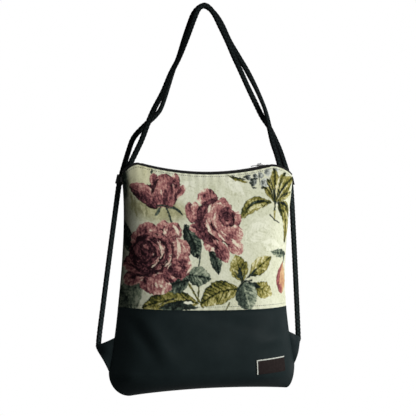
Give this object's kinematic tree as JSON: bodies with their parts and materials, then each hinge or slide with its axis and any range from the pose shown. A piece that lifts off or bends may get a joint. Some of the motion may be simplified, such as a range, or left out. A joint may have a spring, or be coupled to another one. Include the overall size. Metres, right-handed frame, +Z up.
{
  "type": "convertible backpack",
  "caption": "Flat zipped pouch of floral tapestry with a leatherette base, hung by straps that slide through corner loops to make a shoulder bag or a backpack.",
  "frame": {"origin": "underside of the straps at the top of the shoulder loop, where a hook or a hand carries the bag", "axes": "+X to the right seen from the front, +Y towards the back, +Z up"},
  "size_m": [0.388, 0.0852, 0.6887],
  "materials": {
    "tapestry": "woven floral tapestry",
    "leatherette": "smooth black-green leatherette",
    "lining": "plain dark lining",
    "zip_tape": "black woven zip tape",
    "zip_teeth": "black moulded teeth",
    "zip_metal": "dark painted slider",
    "strap": "black braided strap",
    "label": "dark label with a pale edge"
  },
  "bodies": {
    "bag": {"front_panel": "tapestry", "back_panel": "tapestry", "base": "leatherette", "lining": "lining", "zip_tape_front": "zip_tape", "zip_tape_back": "zip_tape", "zip_teeth_front": "zip_teeth", "zip_teeth_back": "zip_teeth", "zip_stops": "zip_metal", "strap_left": "strap", "strap_right": "strap", "corner_loop_left": "strap", "corner_loop_right": "strap", "side_tab_left": "leatherette", "side_tab_right": "leatherette", "label": "label"},
    "slider": {"zip_slider": "zip_metal"},
    "pull": {"zip_pull": "zip_metal"}
  },
  "joints": [
    {"name": "zip_run", "type": "hinge", "parent": "bag", "child": "slider", "pos_m": [0, 0, 0.20328], "axis": [0, 1, 0], "range_deg": [0, 24.9]},
    {"name": "pull_turn", "type": "hinge", "parent": "slider", "child": "pull", "pos_m": [0.10587, 0, -0.27482], "axis": [0, 1, 0], "range_deg": [0, 170]}
  ]
}
